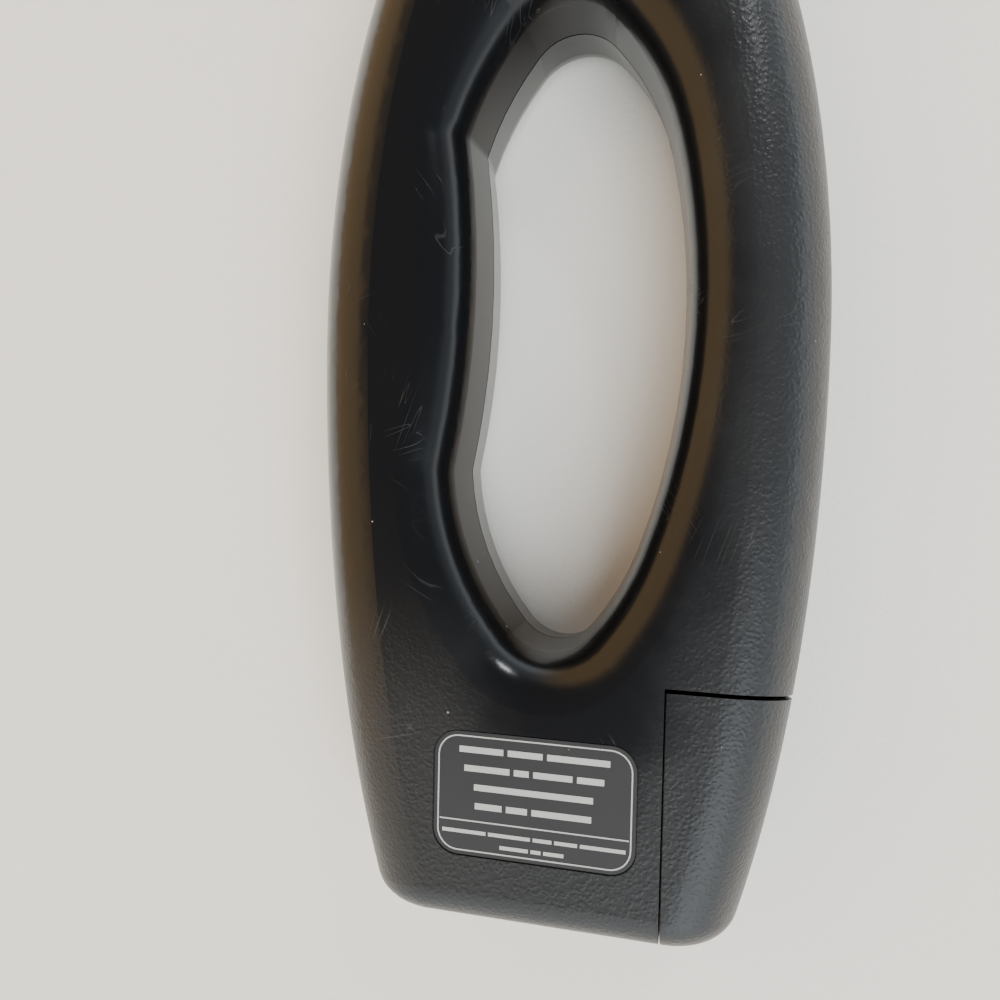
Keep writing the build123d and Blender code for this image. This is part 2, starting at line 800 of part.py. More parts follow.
with BuildPart() as power_switch_body:
    with BuildSketch(slider_plane.offset(-9.6)):
        Rectangle(12, 8.2)
    extrude(amount=6.7)
    with BuildSketch(slider_plane.offset(-5.2)):
        Rectangle(1.6 + slider_travel + 2 * window_play, 2.2)
    extrude(amount=5, mode=Mode.SUBTRACT)
finish(power_switch_body.part, "power_switch_body")

button_plane = flank_plane(button_y, -1)
with BuildPart() as button_bezel:
    with BuildSketch(button_plane.offset(-bezel_flange)):
        Circle(button_bezel_radius)
    extrude(amount=bezel_flange + bezel_stand)
    with BuildSketch(button_plane.offset(-wall - 0.2)):
        Circle(collar_radius)
    extrude(amount=wall + 0.2 - bezel_flange)
    with BuildSketch(button_plane.offset(-wall - 1)):
        Circle(button_radius - 0.3)
    extrude(amount=wall + 3, mode=Mode.SUBTRACT)
finish(button_bezel.part, "button_bezel")

with BuildPart() as test_button:
    with BuildSketch(button_plane.offset(-3.2)):
        Circle(button_radius - 0.55)
    extrude(amount=4.3)
    fillet(test_button.faces().sort_by(Axis(button_plane.origin, button_plane.z_dir))[-1].edges(), 0.5)
    with BuildSketch(button_plane.offset(-3.6)):
        Circle(button_radius)
    extrude(amount=0.7)
    with BuildSketch(button_plane.offset(-4.1)):
        Circle(1.2)
    extrude(amount=0.6)
finish(test_button.part, "test_button")

with BuildPart() as button_switch:
    with BuildSketch(button_plane.offset(-10)):
        Rectangle(6.2, 8.2)
    extrude(amount=4.2)
    with BuildSketch(button_plane.offset(-5.8)):
        Circle(1.5)
    extrude(amount=0.5)
finish(button_switch.part, "button_switch")

jack_plane = flank_plane(jack_y, 1)
jack_mouth = 1.8
with BuildPart() as jack_socket:
    with BuildSketch(jack_plane.offset(-14)):
        Rectangle(7, 7.8)
    extrude(amount=10.8)
    with BuildSketch(jack_plane.offset(-3)):
        Circle(jack_barrel_radius)
    extrude(amount=3 + jack_mouth)
    with BuildSketch(jack_plane.offset(jack_mouth)):
        Circle(jack_bore_radius)
    extrude(amount=-jack_depth, mode=Mode.SUBTRACT)
finish(jack_socket.part, "jack_socket")

with BuildPart() as jack_nut:
    with BuildSketch(jack_plane.offset(0.02)):
        RegularPolygon(3.9, 12)
        Circle(jack_barrel_radius + 0.05, mode=Mode.SUBTRACT)
    extrude(amount=1.4)
finish(jack_nut.part, "jack_nut")

# ---------------------------------------------------------------- search coil
former_depth = 5.0
coil_lead_z = 12.9
former_height = 10.0
winding_depth = 2.0
with BuildPart() as coil_former:
    with BuildSketch(Plane.XY.offset(coil_z - 2)):
        add(paddle_shape(coil_half_width, coil_start_y))
        add(paddle_shape(coil_half_width, coil_start_y, former_depth), mode=Mode.SUBTRACT)
    extrude(amount=former_height)
    with BuildSketch(Plane.XY.offset(coil_z)):
        add(paddle_shape(coil_half_width, coil_start_y))
        add(paddle_shape(coil_half_width, coil_start_y, winding_depth + 0.02), mode=Mode.SUBTRACT)
    extrude(amount=former_height - 4, mode=Mode.SUBTRACT)
finish(coil_former.part, "coil_former")

with BuildPart() as coil_winding:
    with BuildSketch(Plane.XY.offset(coil_z + 0.02)):
        add(paddle_shape(coil_half_width, coil_start_y, 0.2))
        add(paddle_shape(coil_half_width, coil_start_y, winding_depth), mode=Mode.SUBTRACT)
    extrude(amount=former_height - 4.04)
finish(coil_winding.part, "coil_winding")

with BuildPart() as coil_shield:
    with BuildSketch(Plane.XY.offset(coil_z - 2 + former_height)):
        add(paddle_shape(coil_half_width + 0.5, coil_start_y - 0.5))
    extrude(amount=0.4)
finish(coil_shield.part, "coil_shield")

for name, x in (("coil_lead_red", 9.5), ("coil_lead_black", 12.5)):
    with BuildPart() as coil_lead:
        with BuildSketch(Plane.XZ.offset(-(board_end_y - 1))):
            with Locations((x, coil_lead_z)):
                Circle(wire_radius)
        extrude(amount=-(coil_start_y + 0.2 - board_end_y + 1))
    finish(coil_lead.part, name)

# ---------------------------------------------------------------- labels
with BuildPart() as rear_label:
    with BuildSketch(Plane.XY.offset(thickness - label_recess)):
        with Locations((label_x, label_mid_y)):
            RectangleRounded(label_width, label_height, label_radius)
    extrude(amount=label_stock)
finish(rear_label.part, "rear_label")

with BuildPart() as front_label:
    with BuildSketch(Plane.XY.offset(label_recess)):
        with Locations((0, front_label_y)):
            RectangleRounded(front_label_width, front_label_height, 3)
    extrude(amount=-label_stock)
finish(front_label.part, "front_label")
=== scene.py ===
import json

import bpy
from mathutils import Matrix, Vector


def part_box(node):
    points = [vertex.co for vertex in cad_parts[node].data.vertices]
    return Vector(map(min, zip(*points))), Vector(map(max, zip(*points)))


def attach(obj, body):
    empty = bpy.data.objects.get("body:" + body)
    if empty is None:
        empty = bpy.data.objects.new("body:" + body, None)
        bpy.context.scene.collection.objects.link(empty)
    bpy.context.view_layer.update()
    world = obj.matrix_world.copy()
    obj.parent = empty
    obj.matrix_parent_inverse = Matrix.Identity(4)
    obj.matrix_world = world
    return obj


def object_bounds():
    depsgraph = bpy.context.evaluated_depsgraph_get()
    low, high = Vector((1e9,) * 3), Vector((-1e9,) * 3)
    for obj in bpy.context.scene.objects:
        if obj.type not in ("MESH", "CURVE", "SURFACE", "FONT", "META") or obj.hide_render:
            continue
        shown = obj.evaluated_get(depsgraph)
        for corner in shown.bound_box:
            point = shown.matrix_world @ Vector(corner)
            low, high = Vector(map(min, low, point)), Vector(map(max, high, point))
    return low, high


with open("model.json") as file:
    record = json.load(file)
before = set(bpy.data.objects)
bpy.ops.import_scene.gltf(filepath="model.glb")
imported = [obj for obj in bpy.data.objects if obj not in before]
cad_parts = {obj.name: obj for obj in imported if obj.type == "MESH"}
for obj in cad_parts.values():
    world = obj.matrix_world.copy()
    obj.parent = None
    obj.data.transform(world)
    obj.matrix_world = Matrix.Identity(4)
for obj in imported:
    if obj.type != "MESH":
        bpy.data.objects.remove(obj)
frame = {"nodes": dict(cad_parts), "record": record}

# Looks of a hand-held detector wand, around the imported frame. Metres, with +Z up out of the rear face.

opening_middle = (0.0032, -0.1137)
opening_half_size = (0.017, 0.052)
dust_colour = (0.5, 0.48, 0.45, 1)
print_stock = 0.00004
print_line = 0.00022
border_inset = 0.0006
rule_shortening = 0.0020
floor_gap = 0.0001
light_aim = (0, -0.1, 0)
pane_aim = (0, -0.15, 0)
# camera, its height taken from the seam
camera_place = (0.02235, -0.13675, 0.13696)

cad_box = [list(corner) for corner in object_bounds()]
label_low, label_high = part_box("rear_label")
seam_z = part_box("rear_shell")[0].z
front_low, front_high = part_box("front_label")


# ---------------------------------------------------------------- node helpers
def new_tree_node(tree, kind, values=(), **settings):
    """Add a shader node, set its properties and its input values by name or index."""
    made = tree.nodes.new(kind)
    for name, value in settings.items():
        setattr(made, name, value)
    for socket, value in dict(values).items():
        made.inputs[socket].default_value = value
    return made


def feed(tree, socket, source):
    """Link a source socket to an input, or set the input when the source is a plain value."""
    if isinstance(source, bpy.types.NodeSocket):
        tree.links.new(source, socket)
    else:
        socket.default_value = source


def sum_of(tree, operation, first, second=0.0, third=0.0, clamp=False):
    """One math node; each term is a socket or a number."""
    made = new_tree_node(tree, "ShaderNodeMath", operation=operation, use_clamp=clamp)
    for socket, source in zip(made.inputs, (first, second, third)):
        feed(tree, socket, source)
    return made.outputs[0]


def ramp(tree, value, low, high, out_low=0.0, out_high=1.0):
    """Smooth step of a value from low to high."""
    made = new_tree_node(tree, "ShaderNodeMapRange", interpolation_type="SMOOTHSTEP")
    for name, source in (
        ("Value", value), ("From Min", low), ("From Max", high), ("To Min", out_low), ("To Max", out_high)
    ):
        feed(tree, made.inputs[name], source)
    return made.outputs["Result"]


def blend_colour(tree, factor, first, second, mode="MIX"):
    """Mix two colours by a factor."""
    made = new_tree_node(tree, "ShaderNodeMix", data_type="RGBA", blend_type=mode)
    feed(tree, made.inputs["Factor"], factor)
    feed(tree, made.inputs["A"], first)
    feed(tree, made.inputs["B"], second)
    return made.outputs["Result"]


def noise(tree, place, scale, detail=2.0, roughness=0.5, distortion=0.0):
    """Noise value at a place."""
    made = new_tree_node(
        tree, "ShaderNodeTexNoise",
        {"Scale": scale, "Detail": detail, "Roughness": roughness, "Distortion": distortion},
    )
    feed(tree, made.inputs["Vector"], place)
    return made.outputs["Fac"]


def mapped(tree, place, location=(0, 0, 0), rotation=(0, 0, 0), scale=(1, 1, 1)):
    """A place moved, turned and stretched."""
    made = new_tree_node(
        tree, "ShaderNodeMapping", {"Location": location, "Rotation": rotation, "Scale": scale}
    )
    feed(tree, made.inputs["Vector"], place)
    return made.outputs["Vector"]


def object_place(tree):
    return new_tree_node(tree, "ShaderNodeTexCoord").outputs["Object"]


def split_place(tree, place):
    made = new_tree_node(tree, "ShaderNodeSeparateXYZ")
    feed(tree, made.inputs[0], place)
    return made.outputs


def new_group(name, inputs, outputs):
    """An empty node group with named sockets; returns the tree and its inner input and output nodes."""
    tree = bpy.data.node_groups.new(name, "ShaderNodeTree")
    kinds = {"vector": "NodeSocketVector", "value": "NodeSocketFloat", "colour": "NodeSocketColor"}
    for label, kind, value in inputs:
        socket = tree.interface.new_socket(label, in_out="INPUT", socket_type=kinds[kind])
        if value is not None:
            socket.default_value = value
    for label, kind in outputs:
        tree.interface.new_socket(label, in_out="OUTPUT", socket_type=kinds[kind])
    return tree, tree.nodes.new("NodeGroupInput").outputs, tree.nodes.new("NodeGroupOutput").inputs


def use_group(tree, group, **sources):
    """Place a group in a material and feed its inputs; underscores in names stand for spaces."""
    made = tree.nodes.new("ShaderNodeGroup")
    made.node_tree = group
    for name, source in sources.items():
        feed(tree, made.inputs[name.replace("_", " ").capitalize()], source)
    return made.outputs


# ---------------------------------------------------------------- shared surface effects
def make_scratches():
    """Sparse hairline scratches in three directions, as a mask."""
    tree, given, result = new_group(
        "hairline scratches",
        [("Place", "vector", None), ("Density", "value", 0.5), ("Length", "value", 60.0)],
        [("Mask", "value")],
    )
    total = 0.0
    for index, (angle, fineness) in enumerate(((0.35, 18.0), (-0.6, 24.0), (1.25, 15.0))):
        turned = mapped(tree, given["Place"], (index * 0.37, 0, 0), (0, 0, angle))
        parts = split_place(tree, turned)
        joined = new_tree_node(tree, "ShaderNodeCombineXYZ")
        stretch = sum_of(tree, "MULTIPLY", given["Length"], fineness)
        feed(tree, joined.inputs[0], sum_of(tree, "MULTIPLY", parts[0], stretch))
        feed(tree, joined.inputs[1], sum_of(tree, "MULTIPLY", parts[1], given["Length"]))
        feed(tree, joined.inputs[2], sum_of(tree, "MULTIPLY", parts[2], 200.0))
        streak = noise(tree, joined.outputs[0], 1.0, 1.0, 0.5, 0.3)
        line = sum_of(tree, "ABSOLUTE", sum_of(tree, "SUBTRACT", streak, 0.5))
        thin = ramp(tree, line, 0.0, 0.008, 1.0, 0.0)
        patch = noise(tree, mapped(tree, given["Place"], (index * 1.7, 0.4, 0)), 60.0, 1.0, 0.5)
        least = sum_of(tree, "SUBTRACT", 0.72, sum_of(tree, "MULTIPLY", given["Density"], 0.2))
        kept = ramp(tree, patch, least, 0.78)
        total = sum_of(tree, "MAXIMUM", total, sum_of(tree, "MULTIPLY", thin, kept))
    feed(tree, result["Mask"], total)
    return tree


def make_pebble():
    """Fine leather-like moulding grain, as a height from 0 to 1."""
    tree, given, result = new_group(
        "pebble grain", [("Place", "vector", None), ("Scale", "value", 900.0)], [("Height", "value")]
    )
    warp = new_tree_node(tree, "ShaderNodeTexNoise", {"Detail": 1.0})
    feed(tree, warp.inputs["Vector"], given["Place"])
    feed(tree, warp.inputs["Scale"], sum_of(tree, "MULTIPLY", given["Scale"], 0.6))
    warp_reach = (0.0007, 0.0007, 0.0007)
    shift = new_tree_node(tree, "ShaderNodeVectorMath", {1: warp_reach}, operation="MULTIPLY_ADD")
    feed(tree, shift.inputs[0], warp.outputs["Color"])
    feed(tree, shift.inputs[2], given["Place"])
    cells = new_tree_node(
        tree, "ShaderNodeTexVoronoi", {"Smoothness": 0.6}, feature="SMOOTH_F1"
    )
    feed(tree, cells.inputs["Vector"], shift.outputs[0])
    feed(tree, cells.inputs["Scale"], given["Scale"])
    rounded = ramp(tree, cells.outputs["Distance"], 0.05, 0.7, 1.0, 0.0)
    coarse = noise(tree, given["Place"], 420.0, 2.0, 0.5)
    height = sum_of(tree, "MULTIPLY_ADD", rounded, 0.7, sum_of(tree, "MULTIPLY", coarse, 0.5))
    feed(tree, result["Height"], height)
    return tree


def make_dust():
    """Sparse dust specks and lint, as a mask."""
    tree, given, result = new_group(
        "dust specks",
        [("Place", "vector", None), ("Scale", "value", 420.0), ("Amount", "value", 0.1)],
        [("Mask", "value")],
    )
    cells = new_tree_node(tree, "ShaderNodeTexVoronoi", {"Randomness": 1.0}, feature="F1")
    feed(tree, cells.inputs["Vector"], given["Place"])
    feed(tree, cells.inputs["Scale"], given["Scale"])
    pick = split_place(tree, cells.outputs["Color"])
    chosen = sum_of(tree, "LESS_THAN", pick[0], given["Amount"])
    size = sum_of(tree, "MULTIPLY_ADD", pick[1], 0.09, 0.03)
    spot = sum_of(tree, "LESS_THAN", cells.outputs["Distance"], size)
    feed(tree, result["Mask"], sum_of(tree, "MULTIPLY", chosen, spot))
    return tree


def make_mottle():
    """Slow change of tone over a moulded or rubbed surface, centred on zero."""
    tree, given, result = new_group(
        "mottle", [("Place", "vector", None), ("Scale", "value", 40.0)], [("Value", "value")]
    )
    made = new_tree_node(tree, "ShaderNodeTexNoise", {"Detail": 4.0, "Roughness": 0.6})
    feed(tree, made.inputs["Vector"], given["Place"])
    feed(tree, made.inputs["Scale"], given["Scale"])
    feed(tree, result["Value"], sum_of(tree, "SUBTRACT", made.outputs["Fac"], 0.5))
    return tree


scratches = make_scratches()
pebble = make_pebble()
dust = make_dust()
mottle = make_mottle()


def new_material(name, metallic=0.0, **sockets):
    """A Principled material; returns it, its tree, its shader node and an Object place."""
    material = bpy.data.materials.new(name)
    material.use_nodes = True
    tree = material.node_tree
    shader = tree.nodes["Principled BSDF"]
    shader.inputs["Metallic"].default_value = metallic
    for label, value in sockets.items():
        shader.inputs[label.replace("_", " ")].default_value = value
    return material, tree, shader, object_place(tree)


def set_bump(tree, shader, height, distance, strength=1.0):
    bump = new_tree_node(tree, "ShaderNodeBump", {"Strength": strength, "Distance": distance})
    feed(tree, bump.inputs["Height"], height)
    feed(tree, shader.inputs["Normal"], bump.outputs["Normal"])


# ---------------------------------------------------------------- the black case
def shell_black():
    """Black ABS: polished by the hand round the finger opening, pebbled where it is not held."""
    material, tree, shader, place = new_material("black case plastic", Specular_IOR_Level=0.5)
    x, y = split_place(tree, place)[:2]
    wobble = noise(tree, place, 60.0, 3.0, 0.6)
    drift = sum_of(tree, "MULTIPLY", sum_of(tree, "SUBTRACT", wobble, 0.5), 0.6)
    # distance from the opening's middle, 1 at its edge
    squares = []
    for part, middle, half in zip((x, y), opening_middle, opening_half_size):
        ratio = sum_of(tree, "MULTIPLY", sum_of(tree, "SUBTRACT", part, middle), 1 / half)
        squares.append(sum_of(tree, "POWER", ratio, 2.0))
    reach = sum_of(tree, "SQRT", sum_of(tree, "ADD", *squares))
    near_opening = ramp(tree, sum_of(tree, "ADD", reach, drift), 1.15, 1.75, 1.0, 0.0)
    grip_side = sum_of(
        tree, "MULTIPLY",
        ramp(tree, sum_of(tree, "ADD", x, sum_of(tree, "MULTIPLY", drift, 0.02)), -0.012, -0.002, 1.0, 0.0),
        ramp(tree, y, -0.185, -0.150),
    )
    worn = sum_of(tree, "MAXIMUM", near_opening, grip_side)
    held = sum_of(tree, "MULTIPLY", worn, ramp(tree, y, 0.02, -0.03))
    grain = use_group(tree, pebble, place=place, scale=1500.0)["Height"]
    fine = noise(tree, place, 2600.0, 2.0, 0.5)
    lines = use_group(tree, scratches, place=place, density=0.45, length=30.0)["Mask"]
    turned = mapped(tree, place, (0.2, 0.5, 0), (0, 0, 0.9))
    long_lines = use_group(tree, scratches, place=turned, density=0.3, length=12.0)["Mask"]
    marks = sum_of(tree, "MAXIMUM", lines, long_lines)
    specks = use_group(tree, dust, place=place, scale=520.0, amount=0.035)["Mask"]
    tone = use_group(tree, mottle, place=place, scale=35.0)["Value"]
    unheld = sum_of(tree, "SUBTRACT", 1.0, held)
    base = blend_colour(tree, unheld, (0.0045, 0.0046, 0.0052, 1), (0.0150, 0.0156, 0.0165, 1))
    scuffed = blend_colour(tree, sum_of(tree, "MULTIPLY", marks, 0.05), base, (0.45, 0.44, 0.43, 1))
    dusted = blend_colour(tree, sum_of(tree, "MULTIPLY", specks, 0.35), scuffed, dust_colour)
    feed(tree, shader.inputs["Base Color"], dusted)
    rough = sum_of(tree, "MULTIPLY_ADD", unheld, 0.16, 0.20)
    rough = sum_of(tree, "MULTIPLY_ADD", tone, 0.14, rough)
    rough = sum_of(tree, "MULTIPLY_ADD", marks, 0.25, rough)
    rough = sum_of(tree, "ADD", rough, sum_of(tree, "MULTIPLY", specks, 0.4), clamp=True)
    feed(tree, shader.inputs["Roughness"], rough)
    relief = sum_of(tree, "MULTIPLY", grain, sum_of(tree, "MULTIPLY_ADD", unheld, 0.95, 0.04))
    relief = sum_of(tree, "MULTIPLY_ADD", fine, 0.03, relief)
    relief = sum_of(tree, "MULTIPLY_ADD", marks, -0.2, relief)
    set_bump(tree, shader, relief, 0.00006)
    return material


def plain_finish(
    name, colour, roughness, grain_scale=1500.0, grain_depth=0.00002, metallic=0.0, **sockets
):
    """Moulded, pressed or coated finish with its own fine grain, tone and a little dust."""
    material, tree, shader, place = new_material(name, metallic, **sockets)
    tone = use_group(tree, mottle, place=place, scale=90.0)["Value"]
    specks = use_group(tree, dust, place=place, scale=700.0, amount=0.02)["Mask"]
    shade = sum_of(tree, "MULTIPLY_ADD", tone, 0.24, 1.0)
    tinted = new_tree_node(tree, "ShaderNodeVectorMath", {0: colour}, operation="SCALE")
    feed(tree, tinted.inputs["Scale"], shade)
    dusting = sum_of(tree, "MULTIPLY", specks, 0.25)
    dusted = blend_colour(tree, dusting, tinted.outputs[0], dust_colour)
    feed(tree, shader.inputs["Base Color"], dusted)
    feed(tree, shader.inputs["Roughness"], sum_of(tree, "MULTIPLY_ADD", tone, 0.15, roughness, clamp=True))
    set_bump(tree, shader, noise(tree, place, grain_scale, 2.0, 0.5), grain_depth)
    return material


def board_finish(name, colour):
    """Solder mask over fine tracks and pads."""
    material, tree, shader, place = new_material(name, Coat_Weight=0.3, Coat_Roughness=0.15)
    x, y = split_place(tree, place)[:2]
    tracks = 0.0
    for axis, shift in ((x, 0.0), (y, 3.7)):
        wave = sum_of(tree, "SINE", sum_of(tree, "MULTIPLY_ADD", axis, 4200.0, shift))
        patch = noise(tree, mapped(tree, place, (shift, 0, 0)), 160.0, 0.0)
        kept = ramp(tree, patch, 0.50, 0.53)
        tracks = sum_of(tree, "MAXIMUM", tracks, sum_of(tree, "MULTIPLY", ramp(tree, wave, 0.2, 0.5), kept))
    pads = new_tree_node(tree, "ShaderNodeTexVoronoi", {"Scale": 420.0, "Randomness": 0.7})
    feed(tree, pads.inputs["Vector"], place)
    pad = ramp(tree, pads.outputs["Distance"], 0.16, 0.20, 1.0, 0.0)
    raised = (colour[0] * 2.2, colour[1] * 1.8, colour[2] * 2.0, 1)
    laid = blend_colour(tree, tracks, (*colour, 1), raised)
    tinned = blend_colour(tree, pad, laid, (0.55, 0.54, 0.50, 1))
    feed(tree, shader.inputs["Base Color"], tinned)
    feed(tree, shader.inputs["Roughness"], sum_of(tree, "MULTIPLY_ADD", pad, 0.1, 0.32))
    set_bump(tree, shader, sum_of(tree, "MAXIMUM", tracks, pad), 0.00004)
    return material


def winding_finish(name, colour):
    """Enamelled wire laid in close turns, with painted shade in the grooves between them."""
    material, tree, shader, place = new_material(name, metallic=1.0, Coat_Weight=0.4, Coat_Roughness=0.2)
    z = split_place(tree, place)[2]
    wander = sum_of(tree, "MULTIPLY", noise(tree, place, 70.0, 1.0), 5.0)
    turns = sum_of(tree, "SINE", sum_of(tree, "MULTIPLY_ADD", z, 21000.0, wander))
    depth = ramp(tree, turns, -1.0, 0.6)
    # painted shade: the wire colour darkens to about a third in the grooves between turns
    groove_painted_shade = (colour[0] * 0.35, colour[1] * 0.3, colour[2] * 0.3, 1)
    shade = blend_colour(tree, depth, groove_painted_shade, (*colour, 1))
    feed(tree, shader.inputs["Base Color"], shade)
    feed(tree, shader.inputs["Roughness"], sum_of(tree, "MULTIPLY_ADD", depth, -0.15, 0.45))
    set_bump(tree, shader, depth, 0.00008)
    return material


def jacket_finish(name, colour):
    """Printed steel jacket: a copper-toned band at the terminal end, a seam and fine wear."""
    material, tree, shader, place = new_material(name, metallic=0.6, Coat_Weight=0.5, Coat_Roughness=0.12)
    x = split_place(tree, place)[0]
    band = ramp(tree, x, -0.0085, -0.0083, 1.0, 0.0)
    off_line = sum_of(tree, "ABSOLUTE", sum_of(tree, "ADD", x, 0.0065))
    line = ramp(tree, off_line, 0.0003, 0.0004, 1.0, 0.0)
    wear = use_group(tree, scratches, place=place, density=0.4, length=40.0)["Mask"]
    tone = use_group(tree, mottle, place=place, scale=120.0)["Value"]
    printed = blend_colour(tree, band, (*colour, 1), (0.45, 0.20, 0.07, 1))
    ruled = blend_colour(tree, line, printed, (0.6, 0.58, 0.55, 1))
    worn = blend_colour(tree, sum_of(tree, "MULTIPLY", wear, 0.3), ruled, (0.6, 0.6, 0.6, 1))
    feed(tree, shader.inputs["Base Color"], worn)
    feed(tree, shader.inputs["Roughness"], sum_of(tree, "MULTIPLY_ADD", tone, 0.2, 0.3, clamp=True))
    set_bump(tree, shader, sum_of(tree, "MULTIPLY_ADD", wear, -1.0, tone), 0.00001)
    return material


# roughness, metallic, grain scale, grain depth in metres and other shader values of the plainer finishes
finish_table = {
    "end_plate": (0.7, 0.0, 1800.0, 0.00004, {}),
    "plated": (0.22, 1.0, 900.0, 0.000004, {}),
    "steel": (0.35, 1.0, 1600.0, 0.00001, {}),
    "snap_black": (0.5, 0.0, 1400.0, 0.00002, {}),
    "wire_red": (0.38, 0.0, 900.0, 0.00001, {}),
    "wire_black": (0.38, 0.0, 900.0, 0.00001, {}),
    "foam": (0.95, 0.0, 2600.0, 0.00030, {}),
    "tray_grey": (0.5, 0.0, 2200.0, 0.00003, {}),
    "chip_black": (0.6, 0.0, 3000.0, 0.00002, {}),
    "ferrite": (0.55, 0.0, 2600.0, 0.00006, {"Coat_Weight": 0.3}),
    "trimmer_blue": (0.3, 0.0, 1500.0, 0.00001, {}),
    "connector_white": (0.4, 0.0, 1500.0, 0.00001, {}),
    "capacitor_sleeve": (0.28, 0.0, 700.0, 0.00001, {"Coat_Weight": 0.3}),
    "lens_green": (0.12, 0.0, 500.0, 0.000004, {"Transmission_Weight": 0.6}),
    "lens_amber": (0.12, 0.0, 500.0, 0.000004, {"Transmission_Weight": 0.6}),
    "lens_red": (0.12, 0.0, 500.0, 0.000004, {"Transmission_Weight": 0.6}),
    "window_smoke": (0.08, 0.0, 300.0, 0.000004, {"Transmission_Weight": 0.7}),
    "gasket": (0.85, 0.0, 2600.0, 0.00010, {}),
    "speaker_steel": (0.38, 1.0, 1800.0, 0.00001, {}),
    "magnet": (0.6, 0.0, 2400.0, 0.00003, {}),
    "cone_paper": (0.85, 0.0, 3200.0, 0.00008, {}),
    "trim_black": (0.25, 0.0, 1200.0, 0.00001, {}),
    "control_grey": (0.42, 0.0, 2600.0, 0.00003, {}),
    "switch_body": (0.5, 0.0, 1800.0, 0.00002, {}),
    "former_white": (0.5, 0.0, 1500.0, 0.00003, {}),
    "shield_foil": (0.35, 0.9, 600.0, 0.00005, {}),
    "label_charcoal": (0.46, 0.0, 3200.0, 0.000008, {}),
}
special_finishes = {
    "battery_jacket": jacket_finish,
    "board_green": board_finish,
    "winding": winding_finish,
}

materials = {"shell_black": shell_black()}
for entry in frame["record"]["materials"]:
    slot_name = entry["slot"]
    darker = 0.45 if slot_name == "label_charcoal" else 1.0
    colour = tuple(part * darker for part in entry["base_color"][:3])
    if slot_name in special_finishes:
        materials[slot_name] = special_finishes[slot_name](slot_name.replace("_", " "), colour)
    elif slot_name in finish_table:
        roughness, metallic, grain_scale, grain_depth, others = finish_table[slot_name]
        materials[slot_name] = plain_finish(
            slot_name.replace("_", " "), colour, roughness, grain_scale, grain_depth, metallic, **others
        )
slot_of = {part["node"]: part["material_slot"] for part in frame["record"]["subparts"]}
for name, node in frame["nodes"].items():
    for index in range(len(node.material_slots)):
        node.material_slots[index].material = materials[slot_of[name]]


# ---------------------------------------------------------------- print on the labels
def start_piece(name):
    """An empty mesh object at the origin, left open in edit mode."""
    bpy.ops.object.select_all(action="DESELECT")
    bpy.ops.mesh.primitive_cube_add(size=1.0, location=(0, 0, 0))
    piece = bpy.context.object
    piece.name = name
    bpy.ops.object.mode_set(mode="EDIT")
    bpy.ops.mesh.select_all(action="SELECT")
    bpy.ops.mesh.delete(type="VERT")
    bpy.ops.mesh.select_mode(type="VERT")
    return piece


def add_bar(middle, length, height):
    """A thin flat bar, added to the mesh being edited."""
    bpy.ops.mesh.primitive_cube_add(size=1.0, location=middle, scale=(length, height, print_stock))


def add_border(middle, length, height, radius):
    """A thin rounded frame, added to the mesh being edited."""
    bpy.ops.mesh.primitive_plane_add(size=1.0, location=middle)
    bpy.ops.transform.resize(value=(length, height, 1.0))
    bpy.ops.mesh.select_mode(type="VERT")
    bpy.ops.mesh.bevel(offset=radius, segments=8, affect="VERTICES")
    bpy.ops.mesh.select_mode(type="FACE")
    bpy.ops.mesh.inset(thickness=print_line)
    bpy.ops.mesh.delete(type="ONLY_FACE")


def print_lines(rows, middle_x, level, turn):
    """Rows of word-like plain bars: each row is its height above the middle, bar height and lengths."""
    for row_y, bar_height, lengths in rows:
        gap = bar_height * 0.7
        start = -(sum(lengths) + gap * (len(lengths) - 1)) / 2
        for length in lengths:
            x = middle_x + turn * (start + length / 2)
            add_bar((x, row_y, level), length, bar_height)
            start += length + gap


def print_on(name, low, high, base, turn, rows, rule_y, corner):
    """Light print on one label: a thin rounded border, rows of word-like bars and a rule."""
    middle = (low + high) / 2
    level = base + print_stock / 2
    bars = start_piece(name + "_print")
    placed = [(middle.y + y, height, lengths) for y, height, lengths in rows]
    print_lines(placed, middle.x, level, turn)
    size = high - low
    add_bar((middle.x, middle.y + rule_y, level), size.x - rule_shortening, print_line)
    bpy.ops.object.mode_set(mode="OBJECT")
    border = start_piece(name + "_border")
    middle.z = base
    add_border(middle, size.x - 2 * border_inset, size.y - 2 * border_inset, corner)
    bpy.ops.object.mode_set(mode="OBJECT")
    solid = border.modifiers.new("stock", "SOLIDIFY")
    solid.thickness = print_stock
    solid.offset = 1.0
    bpy.ops.object.modifier_apply(modifier=solid.name)
    for piece in (bars, border):
        piece.data.materials.clear()
        piece.data.materials.append(print_ink)
        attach(piece, "wand")


rear_rows = [
    (0.0071, 0.0010, (0.0072, 0.0056, 0.0098)), (0.0041, 0.0010, (0.0074, 0.0024, 0.0062, 0.0042)),
    (0.0011, 0.0010, (0.0190,)), (-0.0019, 0.0010, (0.0044, 0.0034, 0.0094)),
    (-0.0062, 0.0006, (0.0072, 0.0068, 0.0030, 0.0036, 0.0070)),
    (-0.0081, 0.0006, (0.0046, 0.0016, 0.0032)),
]
front_rows = [(0.0045, 0.0030, (0.0240,)), (-0.0045, 0.0012, (0.0080, 0.0060, 0.0090))]
print_ink = plain_finish("light label print", (0.36, 0.37, 0.36), 0.5)
print_on("rear_label", label_low, label_high, label_high.z, 1, rear_rows, -0.0044, 0.0034)
print_on("front_label", front_low, front_high, front_low.z - print_stock, -1, front_rows, 0.0, 0.0024)


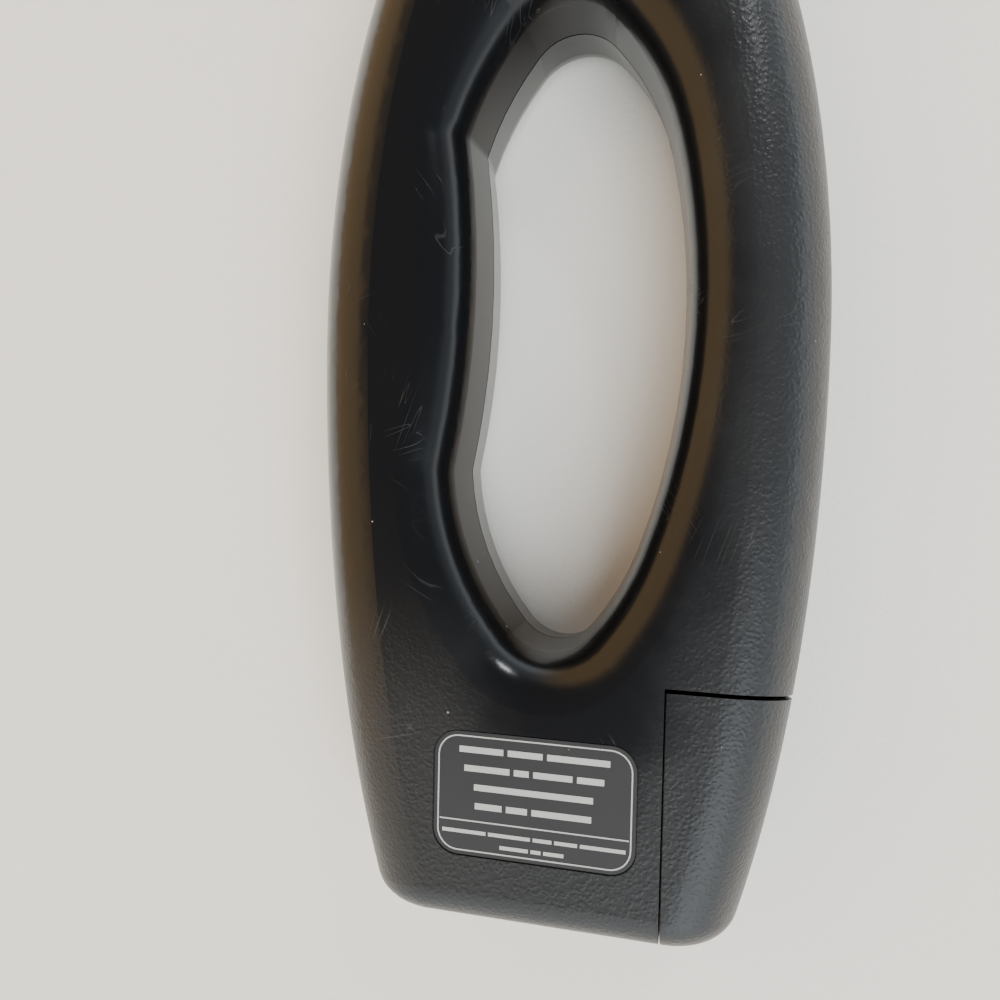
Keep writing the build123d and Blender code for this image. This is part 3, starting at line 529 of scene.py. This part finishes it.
# ---------------------------------------------------------------- floor, light and camera
def make_floor():
    """Plain pale table top."""
    bpy.ops.object.select_all(action="DESELECT")
    bpy.ops.mesh.primitive_plane_add(size=6.0, location=(0, 0, cad_box[0][2] - floor_gap))
    floor = bpy.context.object
    floor.name = "table_top"
    material, tree, shader, place = new_material("pale table top", Roughness=0.85)
    weave = noise(tree, place, 900.0, 2.0, 0.6)
    tone = use_group(tree, mottle, place=place, scale=9.0)["Value"]
    woven = sum_of(tree, "MULTIPLY_ADD", weave, 0.06, 0.97)
    shade = sum_of(tree, "MULTIPLY_ADD", tone, 0.10, woven)
    tinted = new_tree_node(tree, "ShaderNodeVectorMath", {0: (0.78, 0.745, 0.69)}, operation="SCALE")
    feed(tree, tinted.inputs["Scale"], shade)
    feed(tree, shader.inputs["Base Color"], tinted.outputs[0])
    set_bump(tree, shader, weave, 0.0001)
    floor.data.materials.append(material)


def make_light(name, place, aim, size, power, colour):
    """Soft rectangular light facing a point."""
    data = bpy.data.lights.new(name, "AREA")
    data.shape = "RECTANGLE"
    data.size, data.size_y = size
    data.energy = power
    data.color = colour
    lamp = bpy.data.objects.new(name, data)
    bpy.context.scene.collection.objects.link(lamp)
    lamp.location = place
    lamp.rotation_euler = (Vector(aim) - Vector(place)).to_track_quat("-Z", "Y").to_euler()
    return lamp


def make_camera():
    """Camera above the grip end, looking nearly straight down."""
    data = bpy.data.cameras.new("camera")
    data.lens = 28.8
    data.sensor_width = 36.0
    data.clip_start = 0.005
    camera = bpy.data.objects.new("camera", data)
    bpy.context.scene.collection.objects.link(camera)
    right = Vector((0.97063, 0.02108, -0.23965))
    upward = Vector((-0.02868, 0.99919, -0.02825))
    back = Vector((0.23886, 0.03429, 0.97045))
    turn = Matrix((right, upward, back)).transposed().to_4x4()
    camera.matrix_world = Matrix.Translation(Vector(camera_place) + Vector((0, 0, seam_z))) @ turn
    bpy.context.scene.camera = camera


def make_room():
    """Even room light: dark overhead, warm and dim on the left, cool on the right, brightest near."""
    world = bpy.data.worlds.new("room")
    world.use_nodes = True
    tree = world.node_tree
    x, y, z = split_place(tree, new_tree_node(tree, "ShaderNodeTexCoord").outputs["Generated"])
    height = sum_of(tree, "MULTIPLY_ADD", x, 0.15, sum_of(tree, "MULTIPLY_ADD", y, 0.24, z))
    overhead = ramp(tree, height, 0.62, 0.84)
    left = ramp(tree, x, 0.05, -0.6)
    near = ramp(tree, y, -0.12, -0.72)
    low = ramp(tree, z, 0.15, 0.35, 1.0, 0.0)
    right_side = blend_colour(tree, low, (0.50, 0.58, 0.64, 1), (1.9, 2.05, 2.15, 1))
    sides = blend_colour(tree, left, right_side, (1.45, 0.96, 0.46, 1))
    around = blend_colour(tree, near, sides, (1.55, 1.6, 1.58, 1))
    room = blend_colour(tree, overhead, around, (0.09, 0.10, 0.12, 1))
    towards = sum_of(tree, "MULTIPLY_ADD", y, -0.60, sum_of(tree, "MULTIPLY", x, 0.40))
    lobe = ramp(tree, sum_of(tree, "MULTIPLY_ADD", z, 0.69, towards), 0.88, 0.98)
    lit = blend_colour(tree, lobe, room, (2.9, 3.2, 3.4, 1))
    feed(tree, tree.nodes["Background"].inputs["Color"], lit)
    bpy.context.scene.world = world


make_floor()
make_camera()
key_light = make_light(
    "key_light", (0.75, -0.75, 1.6), light_aim, (1.6, 1.6), 56.0, (0.95, 0.985, 1.0)
)
warm_light = make_light(
    "warm_light", (-0.45, 0.25, 0.75), light_aim, (0.7, 0.7), 3.6, (1.0, 0.76, 0.52)
)
for lamp in (key_light, warm_light):
    lamp.visible_glossy = False
make_light("pane_light", (0.40, 0.60, 0.66), pane_aim, (0.17, 0.08), 1.8, (0.95, 0.98, 1.0))
make_room()
